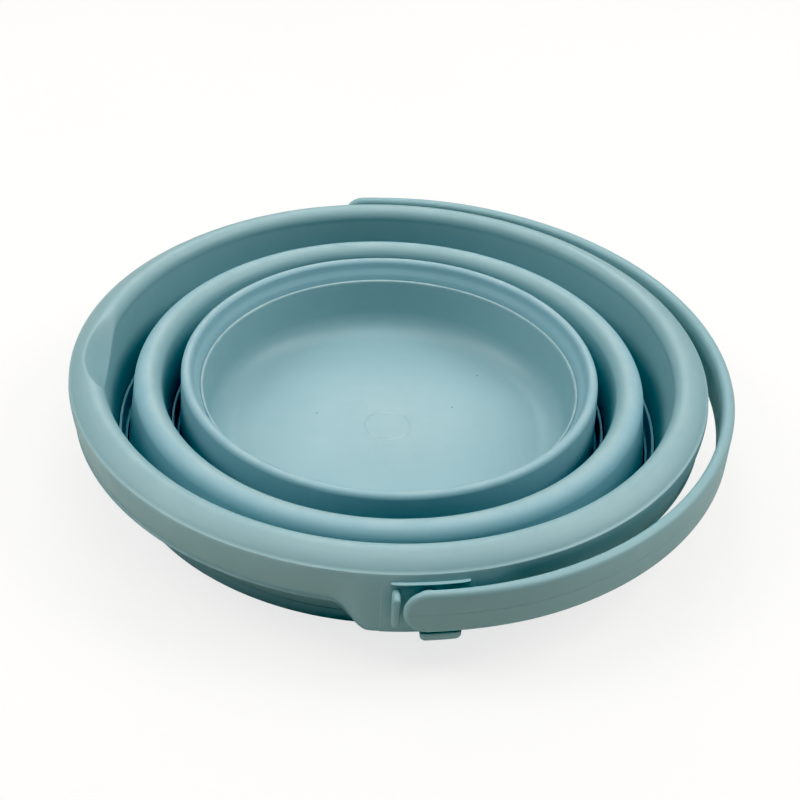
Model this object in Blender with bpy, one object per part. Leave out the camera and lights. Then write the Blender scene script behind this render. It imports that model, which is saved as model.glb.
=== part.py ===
"""Collapsible tub: a round bucket that folds flat in two rings, with a swinging handle.

Run with: blender --background --python part.py
Metres, +Z up. The tub is modelled folded flat, as it is stored. The origin lies on the
axis of the rings, on the table. +X points to the middle of the folded handle, the pouring
lip points to -X, and the handle turns about an axis along Y.
"""
import math

import bmesh
import bpy
from mathutils import Matrix, Vector

# Rim: a rolled lip, a sloping top, a ridge, and a skirt that hangs below the ridge
RIM_RADIUS = 0.160
RIDGE_HEIGHT = 0.052
RIDGE_ROUND = 0.0005
LIP_RISE = 0.0059
LIP_ROLL = 0.006
LIP_TOP_WIDTH = 0.0107
LIP_EDGE_ANGLE = 60
RIM_PLASTIC = 0.0022
SKIRT_DEPTH = 0.0189
SKIRT_DRAW_IN = 0.003
WALL_DRAFT = 0.13

# Pouring lip: a cone scooped out of the rim
SPOUT_BEARING = math.radians(178)
SPOUT_ROUND = 0.0508
SPOUT_DEPTH = 0.0135
SPOUT_SLOPE = 0.857

# Ears: at both ends of the handle's axis the skirt drops and swells, and carries a flat
# pad with a ledge over it, a stop that limits the handle, and a tab that the handle lies on
EAR_HALF_LENGTH = 0.0255
EAR_SWEEP = 0.014
EAR_DROP = 0.0112
EAR_SWELL = 0.0022
EAR_SWELL_SWEEP = 0.030
EAR_PLASTIC = 0.0032
PAD_HALF_LENGTH = 0.0197
PAD_TOP_DROP = 0.0045
PAD_PROUD = 0.0003
PAD_CORNER = 0.003
LEDGE_HALF_LENGTH = 0.0168
LEDGE_TOP_DROP = 0.0029
LEDGE_THICKNESS = 0.001
LEDGE_PROUD = 0.0006
STOP_WIDTH = 0.0028
STOP_CLEARANCE = 0.0015
STOP_TOP_DROP = 0.0048
STOP_HEIGHT = 0.0178
STOP_OVERLAP = 0.0012
TAB_LENGTH = 0.0168
TAB_OFFSET = 0.0048
TAB_THICKNESS = 0.0042
TAB_CHAMFER = 0.0026
TAB_SETBACK = 0.0006
TAB_CLEARANCE = 0.0004

# Handle: a flat band bent to a half ring, with a boss and a split peg at both ends
HANDLE_GAP = 0.0075
HANDLE_THICKNESS = 0.006
HANDLE_END_THICKNESS = 0.0048
HANDLE_TAPER_LENGTH = 0.06
HANDLE_END_HEIGHT = 0.0224
HANDLE_MIDDLE_HEIGHT = 0.024
HANDLE_EDGE_ROUND = 0.0018
BOSS_RADIUS = 0.007
BOSS_CLEARANCE = 0.0005
PEG_RADIUS = 0.0045
PEG_CLEARANCE = 0.0004
PEG_HEAD_RADIUS = 0.0055
PEG_HEAD_LENGTH = 0.0032
PEG_HEAD_CLEARANCE = 0.0006
PEG_SLOT = 0.0016

# Soft sleeve: a bead on the foot of each band, and a skin that folds from bead to crest
SKIN = 0.002
SLEEVE_UPSTAND = 0.0015
SLEEVE_EDGE_HEIGHT = 0.0177
VALLEY_HEIGHT = 0.0097
VALLEY_WIDTH = 0.0011
BEAD_UNDERSIDE = 0.0008
BEAD_CHAMFER = 0.0016
FOLD_FOOT = 0.0061
OUTER_FOLD_LEAN = 0.0051
INNER_FOLD_LEAN = 0.0023

# Crests: the tops of the two folds
MIDDLE_CREST_ROLL = 0.007
MIDDLE_CREST_DROP = 0.004
INNER_CREST_ROLL = 0.0028
INNER_CREST_DROP = 0.0031
BAND_PLASTIC = 0.0024

# Base: a bowl with a soft collar round its top, on a foot ring and a gate pad
COLLAR_FLARE = 0.0039
COLLAR_DEPTH = 0.0107
COLLAR_WRAP = 0.014
LEDGE_STEP = 0.0011
BOWL_PLASTIC = 0.0024
BOWL_FILLET = 0.014
FLOOR_HEIGHT = 0.0082
FOOT_WIDTH = 0.003
GATE_PAD_RADIUS = 0.0119

# Gap that neighbouring pieces keep, and how far a tool runs past what it cuts or joins
JOINT_GAP = 0.0003
OVERRUN = 0.0015
MERGE_DISTANCE = 0.00001

# Shares that shape the outlines, from the ridge down, from the ledge up, and so on
SKIRT_HEIGHT_SHARES = (0.08, 0.30, 0.60, 0.85, 1.0)
SKIRT_DRAW_SHARES = (0.0, 0.05, 0.38, 0.78, 1.0)
EAR_DRAW_SHARES = (0.45, 0.05, 0.0, 0.0, 0.06)
SLOPE_POINT_SHARE = 0.52
SLOPE_BULGE_SHARE = 0.03
LIP_UNDERSIDE_SHARE = 1.25
CREASE_ROUND_SHARE = 0.25
COLLAR_SHARES = ((0.62, 0.80), (0.10, 0.42), (0.0, 0.0))
PADDLE_SHARES = (0.96, 0.82, 0.64, 0.44, 0.22)

# Facets
RING_STEPS = 56
ROLL_STEPS = 5
CREST_STEPS = 3
BEND_STEPS = 2
FILLET_STEPS = 3
SPOUT_STEPS = 6
HALVINGS = 30
SWEEP_STEPS = 4
HANDLE_STEPS = 34
PEG_STEPS = 24

# Places worked out from the sizes above
LIP_TOP = RIDGE_HEIGHT + LIP_RISE
LIP_CENTRE = (RIM_RADIUS - LIP_TOP_WIDTH, LIP_TOP - LIP_ROLL)
LIP_EDGE = (LIP_CENTRE[0] + LIP_ROLL * math.cos(math.radians(LIP_EDGE_ANGLE)),
            LIP_CENTRE[1] + LIP_ROLL * math.sin(math.radians(LIP_EDGE_ANGLE)))
SKIRT_BOTTOM = RIDGE_HEIGHT - SKIRT_DEPTH
SPOUT_BOTTOM = LIP_TOP - SPOUT_DEPTH
BAND_FOOT = VALLEY_HEIGHT + JOINT_GAP
EAR_RADIUS = RIM_RADIUS + EAR_SWELL
EAR_BOTTOM = SKIRT_BOTTOM - EAR_DROP
PAD_FACE = EAR_RADIUS + PAD_PROUD
EAR_INSIDE = PAD_FACE - EAR_PLASTIC
HANDLE_INSIDE = RIM_RADIUS + HANDLE_GAP
PADDLE_RADIUS = HANDLE_END_HEIGHT / 2
PIVOT_HEIGHT = RIDGE_HEIGHT - PADDLE_RADIUS
MIDDLE_CREST_TOP = RIDGE_HEIGHT - MIDDLE_CREST_DROP
INNER_CREST_TOP = RIDGE_HEIGHT - INNER_CREST_DROP
COLLAR_EDGE_HEIGHT = INNER_CREST_TOP - COLLAR_DEPTH

# Colours of the one pale blue-green plastic: rigid pieces, and the softer sleeve
RIGID_COLOUR = (0.39, 0.60, 0.62)
SOFT_COLOUR = (0.36, 0.58, 0.60)


def clear_scene():
    """Removes whatever the scene holds."""
    for item in list(bpy.data.objects):
        bpy.data.objects.remove(item, do_unlink=True)


def plastic(name, colour, roughness):
    """One plain material."""
    material = bpy.data.materials.new(name)
    material.use_nodes = True
    shader = material.node_tree.nodes["Principled BSDF"]
    shader.inputs["Base Color"].default_value = (*colour, 1.0)
    shader.inputs["Roughness"].default_value = roughness
    shader.inputs["Metallic"].default_value = 0.0
    return material


def add_empty(name, parent=None):
    """An empty on the axis of the rings, which carries the pieces of one moving body."""
    item = bpy.data.objects.new(name, None)
    bpy.context.scene.collection.objects.link(item)
    item.parent = parent
    return item


def add_object(name, builder, material=None, parent=None):
    """Turns a bmesh into an object, shaded smooth up to its sharp edges."""
    mesh = bpy.data.meshes.new(name)
    bmesh.ops.recalc_face_normals(builder, faces=builder.faces[:])
    builder.to_mesh(mesh)
    builder.free()
    mesh.shade_smooth()
    mesh.set_sharp_from_angle(angle=math.radians(35))
    if material is not None:
        mesh.materials.append(material)
    item = bpy.data.objects.new(name, mesh)
    bpy.context.scene.collection.objects.link(item)
    item.parent = parent
    return item


def use_tool(item, tool, operation):
    """Joins a tool's shape to a piece, or cuts it away. The tool itself isn't a piece."""
    tool.hide_render = True
    tool.display_type = "WIRE"
    modifier = item.modifiers.new(tool.name, "BOOLEAN")
    modifier.operation = operation
    modifier.solver = "EXACT"
    modifier.object = tool


def arc(centre, radius, start, end, steps):
    """Points (r, z) along an arc, between two angles in degrees from +r."""
    angles = [math.radians(start + (end - start) * step / steps) for step in range(steps + 1)]
    return [(centre[0] + radius * math.cos(a), centre[1] + radius * math.sin(a)) for a in angles]


def smooth(value):
    """Runs from 0 to 1 with no kink at either end."""
    value = min(max(value, 0.0), 1.0)
    return value * value * (3 - 2 * value)


def turned(name, outline, material, parent=None, closed=True):
    """Turns an outline of (r, z) points round the axis of the rings."""
    builder = bmesh.new()
    points = [builder.verts.new((r, 0, z)) for r, z in outline]
    first = 0 if closed else 1
    edges = [builder.edges.new((points[i - 1], points[i])) for i in range(first, len(points))]
    bmesh.ops.spin(builder, geom=edges, cent=(0, 0, 0), axis=(0, 0, 1), angle=math.tau,
                   steps=RING_STEPS, use_merge=True)
    bmesh.ops.remove_doubles(builder, verts=builder.verts[:], dist=MERGE_DISTANCE)
    return add_object(name, builder, material, parent)


def loft(sections, closed):
    """Joins sections of as many points into a skin, as a ring or with two end caps."""
    builder = bmesh.new()
    rows = [[builder.verts.new(point) for point in section] for section in sections]
    for i in range(0 if closed else 1, len(rows)):
        before, row = rows[i - 1], rows[i]
        for j in range(len(row)):
            builder.faces.new((before[j - 1], before[j], row[j], row[j - 1]))
    if not closed:
        builder.faces.new(rows[0])
        builder.faces.new(rows[-1])
    return builder


def wall_radius(top_radius, top_height, height):
    """Radius of a drafted wall's inner face at a height."""
    return top_radius - WALL_DRAFT * (top_height - height)


def rim_wall(height):
    """Radius of the rim's inner face at a height."""
    return wall_radius(LIP_CENTRE[0] - LIP_ROLL, LIP_CENTRE[1], height)


def top_slope(radius):
    """Height of the lip's sloping top, outside its roll."""
    fall = (LIP_EDGE[1] - RIDGE_HEIGHT) / (RIM_RADIUS - LIP_EDGE[0])
    return LIP_EDGE[1] - fall * max(radius - LIP_EDGE[0], 0)


def spout_reach(height, bearing):
    """How far out the pouring lip's cone reaches at a height, or zero away from it."""
    turn = (bearing - SPOUT_BEARING + math.pi) % math.tau - math.pi
    if abs(turn) > math.pi / 4 or height < SPOUT_BOTTOM:
        return 0
    tip = rim_wall(SPOUT_BOTTOM)
    cone_centre = tip + SPOUT_SLOPE * SPOUT_DEPTH - SPOUT_ROUND
    cone_radius = tip + SPOUT_SLOPE * (height - SPOUT_BOTTOM) - cone_centre
    half_chord_squared = cone_radius ** 2 - (cone_centre * math.sin(turn)) ** 2
    if half_chord_squared < 0:
        return 0
    return cone_centre * math.cos(turn) + math.sqrt(half_chord_squared)


def spout_crease(bearing):
    """Height at which the pouring lip's cone leaves the inner wall."""
    low, high = SPOUT_BOTTOM, LIP_CENTRE[1]
    if spout_reach(high, bearing) <= rim_wall(high):
        return high
    for _ in range(HALVINGS):
        middle = (low + high) / 2
        if spout_reach(middle, bearing) > rim_wall(middle):
            high = middle
        else:
            low = middle
    return low


def cut_spout(outline, bearing):
    """Moves the points of an outline that lie in the pouring lip's cone onto the cone."""
    inside = [i for i, (r, z) in enumerate(outline) if spout_reach(z, bearing) > r]
    if not inside:
        return outline
    first, last = inside[0], inside[-1]
    start, low, high = (Vector(outline[i]) for i in (first - 1, last, last + 1))
    for _ in range(HALVINGS):
        middle = (low + high) / 2
        if spout_reach(middle.y, bearing) > middle.x:
            low = middle
        else:
            high = middle
    count = last - first + 1
    cut = [tuple(start.lerp(high, (i + 1) / count)) for i in range(count)]
    return outline[:first] + cut + outline[last + 1:]


def ear_share(bearing, sweep):
    """1 on an ear and 0 away from it, measured along the rim from the handle's axis."""
    along = RIM_RADIUS * math.atan2(abs(math.cos(bearing)), abs(math.sin(bearing)))
    return smooth((EAR_HALF_LENGTH + sweep - along) / sweep)


def skirt_face(bearing, inset):
    """The skirt's points from the ridge down, moved in by an inset."""
    drop = ear_share(bearing, EAR_SWEEP)
    swell = ear_share(bearing, EAR_SWELL_SWEEP)
    top = RIDGE_HEIGHT - RIDGE_ROUND
    height = top - SKIRT_BOTTOM + EAR_DROP * drop
    face = []
    for down, plain, ear in zip(SKIRT_HEIGHT_SHARES, SKIRT_DRAW_SHARES, EAR_DRAW_SHARES):
        plain_r = RIM_RADIUS + RIDGE_ROUND - SKIRT_DRAW_IN * plain
        ear_r = EAR_RADIUS - EAR_SWELL * ear
        face.append((plain_r + (ear_r - plain_r) * swell - inset, top - height * down))
    return face


def rim_section(bearing):
    """The rim's section: inner wall, lip, skirt, and back up inside the skirt."""
    lip_r, lip_z = LIP_CENTRE
    crease = spout_crease(bearing) - LIP_ROLL * CREASE_ROUND_SHARE
    middle = LIP_EDGE[0] + (RIM_RADIUS - LIP_EDGE[0]) * SLOPE_POINT_SHARE
    section = [(rim_wall(BAND_FOOT), BAND_FOOT), (rim_wall(crease), crease)]
    section += arc(LIP_CENTRE, LIP_ROLL, 180, LIP_EDGE_ANGLE, ROLL_STEPS)
    section.append((middle, top_slope(middle) + LIP_TOP_WIDTH * SLOPE_BULGE_SHARE))
    section.append((RIM_RADIUS, RIDGE_HEIGHT))
    section = cut_spout(section, bearing)
    section += skirt_face(bearing, 0)
    section += reversed(skirt_face(bearing, RIM_PLASTIC)[1:])
    thick = RIM_PLASTIC * LIP_UNDERSIDE_SHARE
    for radius in (RIM_RADIUS - RIM_PLASTIC, lip_r):
        radius = max(radius, spout_reach(top_slope(radius) - thick, bearing) + thick)
        section.append((radius, top_slope(radius) - thick))
    reach = spout_reach(lip_z, bearing) + thick
    section.append((max(rim_wall(lip_z) + RIM_PLASTIC, reach), lip_z - thick))
    low = SPOUT_BOTTOM - RIM_PLASTIC
    section.append((rim_wall(low) + RIM_PLASTIC, low))
    section.append((rim_wall(BAND_FOOT) + RIM_PLASTIC, BAND_FOOT))
    return section


def rim_bearings():
    """Bearings of the rim's sections: even steps, and closer ones at ears and spout."""
    step = math.tau / RING_STEPS
    spout_step = SPOUT_ROUND / RIM_RADIUS / SPOUT_STEPS
    close = [SPOUT_BEARING + spout_step * i for i in range(-SPOUT_STEPS, SPOUT_STEPS + 1)]
    for ear in (-math.pi / 2, math.pi / 2):
        for i in range(SWEEP_STEPS + 1):
            along = (EAR_HALF_LENGTH + EAR_SWEEP * i / SWEEP_STEPS) / RIM_RADIUS
            close += [ear - along, ear + along]
    close = [bearing % math.tau for bearing in close]
    even = [step * i for i in range(RING_STEPS)]
    spare = [b for b in even if min(abs(b - c) for c in close) > step / 3]
    return sorted(close + spare)


def ear_prism(name, outline, inside, outside, parent):
    """A tool at both ears: an outline of (x, z) points carried outwards along Y."""
    builder = bmesh.new()
    base = builder.faces.new([builder.verts.new((x, -inside, z)) for x, z in outline])
    side = bmesh.ops.extrude_face_region(builder, geom=[base])["geom"]
    moved = [part for part in side if isinstance(part, bmesh.types.BMVert)]
    bmesh.ops.translate(builder, verts=moved, vec=(0, inside - outside, 0))
    item = add_object(name, builder, parent=parent)
    mirror = item.modifiers.new("far_ear", "MIRROR")
    mirror.use_axis = (False, True, False)
    mirror.merge_threshold = MERGE_DISTANCE
    return item


def round_peg(name, outline, parent):
    """A tool at both ears: an outline of (radius, distance from the middle) points
    turned about the handle's axis."""
    builder = bmesh.new()
    points = [builder.verts.new((0, -out, radius)) for radius, out in outline]
    edges = [builder.edges.new((points[i - 1], points[i])) for i in range(1, len(points))]
    bmesh.ops.spin(builder, geom=edges, cent=(0, 0, 0), axis=(0, 1, 0), angle=math.tau,
                   steps=PEG_STEPS, use_merge=True)
    bmesh.ops.remove_doubles(builder, verts=builder.verts[:], dist=MERGE_DISTANCE)
    item = add_object(name, builder, parent=parent)
    mirror = item.modifiers.new("far_ear", "MIRROR")
    mirror.use_axis = (False, True, False)
    mirror.merge_threshold = MERGE_DISTANCE
    return item


def ear_tools(parent):
    """What the ears carry: pad, ledge, stop and tab."""
    inside = EAR_INSIDE
    pad_top = RIDGE_HEIGHT - PAD_TOP_DROP
    pad = [(-PAD_HALF_LENGTH, EAR_BOTTOM), (PAD_HALF_LENGTH, EAR_BOTTOM),
           (PAD_HALF_LENGTH, pad_top - PAD_CORNER), (PAD_HALF_LENGTH - PAD_CORNER, pad_top),
           (PAD_CORNER - PAD_HALF_LENGTH, pad_top), (-PAD_HALF_LENGTH, pad_top - PAD_CORNER)]
    ledge_top = RIDGE_HEIGHT - LEDGE_TOP_DROP
    ledge_bottom = ledge_top - LEDGE_THICKNESS
    ledge = [(-LEDGE_HALF_LENGTH, ledge_bottom), (LEDGE_HALF_LENGTH, ledge_bottom),
             (LEDGE_HALF_LENGTH - LEDGE_THICKNESS, ledge_top),
             (LEDGE_THICKNESS - LEDGE_HALF_LENGTH, ledge_top)]
    stop_round = STOP_WIDTH / 2
    stop_middle = -PADDLE_RADIUS - STOP_CLEARANCE - stop_round
    stop_end = RIDGE_HEIGHT - STOP_TOP_DROP
    stop_top = (stop_middle, stop_end - stop_round)
    stop_bottom = (stop_middle, stop_end - STOP_HEIGHT + stop_round)
    stop = arc(stop_top, stop_round, 0, 180, ROLL_STEPS)
    stop += arc(stop_bottom, stop_round, 180, 360, ROLL_STEPS)
    tab_top = RIDGE_HEIGHT - HANDLE_END_HEIGHT - TAB_CLEARANCE
    tab_start, tab_end = TAB_OFFSET - TAB_LENGTH / 2, TAB_OFFSET + TAB_LENGTH / 2
    tab_bottom = tab_top - TAB_THICKNESS
    tab = [(tab_start, tab_top), (tab_start, tab_bottom + TAB_CHAMFER),
           (tab_start + TAB_CHAMFER, tab_bottom), (tab_end - TAB_CHAMFER, tab_bottom),
           (tab_end, tab_bottom + TAB_CHAMFER), (tab_end, tab_top)]
    stop_face = HANDLE_INSIDE + STOP_OVERLAP
    tab_face = HANDLE_INSIDE + HANDLE_END_THICKNESS - TAB_SETBACK
    return [ear_prism("ear_pad", pad, inside, PAD_FACE, parent),
            ear_prism("ear_ledge", ledge, inside, PAD_FACE + LEDGE_PROUD, parent),
            ear_prism("ear_stop", stop, inside, stop_face, parent),
            ear_prism("ear_tab", tab, inside, tab_face, parent)]


def build_rim(material, parent):
    """The rigid rim with its lip, skirt, pouring lip and two ears."""
    bearings = rim_bearings()
    sections = []
    for bearing in bearings:
        turn = Matrix.Rotation(bearing, 3, "Z")
        sections.append([turn @ Vector((r, 0, z)) for r, z in rim_section(bearing)])
    rim = add_object("rim_frame", loft(sections, True), material, parent)
    for tool in ear_tools(parent):
        use_tool(rim, tool, "UNION")
    radius = PEG_RADIUS + PEG_CLEARANCE
    inner, outer = EAR_INSIDE - OVERRUN, PAD_FACE + OVERRUN
    bore = round_peg("peg_hole", [(0, inner), (radius, inner), (radius, outer), (0, outer)],
                     parent)
    bore.location.z = PIVOT_HEIGHT
    use_tool(rim, bore, "DIFFERENCE")


def bead_section(wall, plastic_thickness):
    """A soft bead that grips the foot of a rigid band. wall(z) is the band's inner face."""
    upstand = JOINT_GAP + SLEEVE_UPSTAND
    outside = wall(VALLEY_HEIGHT) + plastic_thickness
    foot_out = fold_foot(wall)
    seat = FOLD_FOOT - JOINT_GAP
    low = BEAD_UNDERSIDE + BEAD_CHAMFER
    drawn = outside - WALL_DRAFT * (VALLEY_HEIGHT - low)
    return [(outside, VALLEY_HEIGHT), (drawn, low), (drawn - BEAD_CHAMFER, BEAD_UNDERSIDE),
            (foot_out - SKIN + BEAD_CHAMFER, BEAD_UNDERSIDE), (foot_out - SKIN, low),
            (foot_out - SKIN, seat), (foot_out + JOINT_GAP, seat),
            (foot_out + JOINT_GAP, VALLEY_HEIGHT), (wall(VALLEY_HEIGHT) - upstand, VALLEY_HEIGHT),
            (wall(SLEEVE_EDGE_HEIGHT) - upstand, SLEEVE_EDGE_HEIGHT),
            (wall(SLEEVE_EDGE_HEIGHT) - JOINT_GAP, SLEEVE_EDGE_HEIGHT),
            (wall(VALLEY_HEIGHT) - JOINT_GAP, VALLEY_HEIGHT)]


def fold_foot(wall):
    """Outer radius of a fold's skin where it leaves the bead on a band."""
    inner_face = wall(VALLEY_HEIGHT) - JOINT_GAP - SLEEVE_UPSTAND
    return inner_face - VALLEY_WIDTH - JOINT_GAP


def fold_section(foot_out, centre, roll):
    """A folded skin, from the bead up and over the outer half of a crest."""
    outside = arc(centre, roll, 0, 90, CREST_STEPS)
    inside = arc(centre, roll - SKIN, 90, 0, BEND_STEPS)
    section = [(foot_out, FOLD_FOOT)] + outside + inside
    section.append((foot_out - SKIN, FOLD_FOOT))
    return [(max(r, centre[0] + JOINT_GAP / 2), z) for r, z in section]


def crest_centre(foot_out, lean, roll, top):
    """Centre of a crest's roll, at the end of a skin that leans in from its foot."""
    return (foot_out - lean - roll, top - roll)


def middle_crest():
    """Centre of the middle band's crest."""
    return crest_centre(fold_foot(rim_wall), OUTER_FOLD_LEAN, MIDDLE_CREST_ROLL,
                        MIDDLE_CREST_TOP)


def middle_wall(height):
    """Radius of the middle band's inner face at a height."""
    radius, top = middle_crest()
    return wall_radius(radius - MIDDLE_CREST_ROLL, top, height)


def inner_crest():
    """Centre of the crest round the base."""
    return crest_centre(fold_foot(middle_wall), INNER_FOLD_LEAN, INNER_CREST_ROLL,
                        INNER_CREST_TOP)


def middle_band_section():
    """The inner half of the middle crest, and the band that hangs from it."""
    centre = middle_crest()
    outside = arc(centre, MIDDLE_CREST_ROLL, 90, 180, CREST_STEPS)
    inside = arc(centre, MIDDLE_CREST_ROLL - BAND_PLASTIC, 180, 90, BEND_STEPS)
    foot = middle_wall(BAND_FOOT)
    section = outside + [(foot, BAND_FOOT), (foot + BAND_PLASTIC, BAND_FOOT)] + inside
    return [(min(r, centre[0] - JOINT_GAP / 2), z) for r, z in section]


def bowl_wall(height):
    """Radius of the bowl's inner face at a height."""
    ledge = inner_crest()[0] - INNER_CREST_ROLL - COLLAR_FLARE
    return wall_radius(ledge - LEDGE_STEP, COLLAR_EDGE_HEIGHT, height)


def collar_section():
    """The inner half of the base's crest, flaring to a ledge, and wrapped round the bowl."""
    centre = inner_crest()
    face = centre[0] - INNER_CREST_ROLL
    rise = centre[1] - COLLAR_EDGE_HEIGHT
    section = arc(centre, INNER_CREST_ROLL, 90, 180, BEND_STEPS)
    for flare, up in COLLAR_SHARES:
        section.append((face - COLLAR_FLARE * (1 - flare), COLLAR_EDGE_HEIGHT + rise * up))
    outside = BOWL_PLASTIC + JOINT_GAP
    wrap_foot = COLLAR_EDGE_HEIGHT - COLLAR_WRAP
    section += [(bowl_wall(COLLAR_EDGE_HEIGHT) + outside, COLLAR_EDGE_HEIGHT),
                (bowl_wall(wrap_foot) + outside, wrap_foot),
                (bowl_wall(wrap_foot) + outside + SKIN, wrap_foot),
                (bowl_wall(COLLAR_EDGE_HEIGHT) + outside + SKIN, COLLAR_EDGE_HEIGHT)]
    section += arc(centre, INNER_CREST_ROLL - SKIN, 180, 90, 1)
    return [(min(r, centre[0] - JOINT_GAP / 2), z) for r, z in section]


def bowl_outline():
    """The bowl, from the middle of its floor over the top edge to the middle underneath."""
    top = COLLAR_EDGE_HEIGHT - JOINT_GAP
    lean = math.degrees(math.atan(WALL_DRAFT))
    tangent = FLOOR_HEIGHT + BOWL_FILLET * (1 - math.sin(math.radians(lean)))
    centre_r = bowl_wall(tangent) - BOWL_FILLET * math.cos(math.radians(lean))
    centre = (centre_r, FLOOR_HEIGHT + BOWL_FILLET)
    under = FLOOR_HEIGHT - BOWL_PLASTIC
    outline = [(0, FLOOR_HEIGHT)] + arc(centre, BOWL_FILLET, -90, -lean, FILLET_STEPS)
    outline += [(bowl_wall(top), top), (bowl_wall(top) + BOWL_PLASTIC, top)]
    outline += arc(centre, BOWL_FILLET + BOWL_PLASTIC, -lean, -90, FILLET_STEPS)
    outline += [(centre_r, 0), (centre_r - FOOT_WIDTH, 0), (centre_r - FOOT_WIDTH, under),
                (GATE_PAD_RADIUS, under), (GATE_PAD_RADIUS, 0), (0, 0)]
    return outline


def band_section(along, half_length):
    """The handle's section at a distance along it from one peg, as points in the band's
    own plane: (distance from the tub's axis, height from the peg)."""
    reach = min(along, 2 * half_length - along)
    top = PADDLE_RADIUS
    grown = (HANDLE_MIDDLE_HEIGHT - HANDLE_END_HEIGHT) * smooth(reach / half_length)
    bottom = -PADDLE_RADIUS - grown
    if reach < 0:
        top = math.sqrt(PADDLE_RADIUS ** 2 - reach ** 2)
        bottom = -top
    inside = HANDLE_INSIDE
    taper = (HANDLE_THICKNESS - HANDLE_END_THICKNESS) * smooth(reach / HANDLE_TAPER_LENGTH)
    outside = inside + HANDLE_END_THICKNESS + taper
    edge = min(HANDLE_EDGE_ROUND, top / 2)
    return [(inside, bottom + edge), (inside + edge, bottom),
            (outside - edge, bottom), (outside, bottom + edge),
            (outside, top - edge), (outside - edge, top),
            (inside + edge, top), (inside, top - edge)]


def build_handle(material, parent):
    """The handle: a half ring with round paddles, bosses and split pegs."""
    middle = HANDLE_INSIDE + HANDLE_THICKNESS / 2
    half_length = middle * math.pi / 2
    run = 2 * half_length
    ends = [-PADDLE_RADIUS * math.sin(math.pi / 2 * share) for share in PADDLE_SHARES]
    places = ends + [run * i / HANDLE_STEPS for i in range(HANDLE_STEPS + 1)]
    places += [run - place for place in reversed(ends)]
    sections = []
    for place in places:
        turn = Matrix.Rotation(place / middle - math.pi / 2, 3, "Z")
        section = band_section(place, half_length)
        sections.append([turn @ Vector((out, 0, up)) for out, up in section])
    handle = add_object("handle", loft(sections, False), material, parent)
    face = PAD_FACE + BOSS_CLEARANCE
    neck = EAR_INSIDE - PEG_HEAD_CLEARANCE
    tip = neck - PEG_HEAD_LENGTH
    root = HANDLE_INSIDE + OVERRUN
    peg = [(0, tip), (PEG_RADIUS, tip), (PEG_HEAD_RADIUS, neck), (PEG_RADIUS, neck),
           (PEG_RADIUS, face), (BOSS_RADIUS, face), (BOSS_RADIUS, root), (0, root)]
    use_tool(handle, round_peg("pegs", peg, parent), "UNION")
    wide, high = PEG_SLOT / 2, PEG_HEAD_RADIUS + OVERRUN
    slot = [(-wide, -high), (wide, -high), (wide, high), (-wide, high)]
    use_tool(handle, ear_prism("peg_slots", slot, tip - OVERRUN, PAD_FACE, parent),
             "DIFFERENCE")


def build_base(parent):
    """The bowl, its soft collar, and the skin that folds down from the collar's crest."""
    turned("base_bowl", bowl_outline(), plastic("bowl_plastic", RIGID_COLOUR, 0.38), parent,
           closed=False)
    turned("base_collar", collar_section(), plastic("collar_rubber", SOFT_COLOUR, 0.5), parent)
    centre = inner_crest()
    turned("inner_fold", fold_section(fold_foot(middle_wall), centre, INNER_CREST_ROLL),
           plastic("inner_fold_rubber", SOFT_COLOUR, 0.5), parent)


def build_middle(parent):
    """The middle band with its bead, and the skin that folds down from its crest."""
    turned("middle_band", middle_band_section(),
           plastic("middle_band_plastic", RIGID_COLOUR, 0.38), parent)
    turned("middle_bead", bead_section(middle_wall, BAND_PLASTIC),
           plastic("middle_bead_rubber", SOFT_COLOUR, 0.5), parent)
    centre = middle_crest()
    turned("outer_fold", fold_section(fold_foot(rim_wall), centre, MIDDLE_CREST_ROLL),
           plastic("outer_fold_rubber", SOFT_COLOUR, 0.5), parent)


def main():
    """Builds the tub body by body."""
    clear_scene()
    base = add_empty("base_axis")
    middle = add_empty("middle_axis", base)
    rim = add_empty("rim_axis", middle)
    pivot = add_empty("handle_pivot", rim)
    pivot.location.z = PIVOT_HEIGHT
    build_base(base)
    build_middle(middle)
    build_rim(plastic("rim_plastic", RIGID_COLOUR, 0.36), rim)
    turned("rim_bead", bead_section(rim_wall, RIM_PLASTIC),
           plastic("rim_bead_rubber", SOFT_COLOUR, 0.5), rim)
    build_handle(plastic("handle_plastic", RIGID_COLOUR, 0.36), pivot)


main()
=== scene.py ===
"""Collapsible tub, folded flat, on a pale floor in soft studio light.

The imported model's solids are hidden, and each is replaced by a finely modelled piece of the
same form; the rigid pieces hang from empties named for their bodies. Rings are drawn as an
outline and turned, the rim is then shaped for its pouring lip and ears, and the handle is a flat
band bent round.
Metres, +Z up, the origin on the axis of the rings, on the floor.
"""

import logging
import math
from collections.abc import Callable, Iterator, Sequence
from contextlib import contextmanager
from dataclasses import dataclass, field
from enum import Enum
from itertools import pairwise

import bmesh
import bpy
from mathutils import Matrix, Vector


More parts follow.
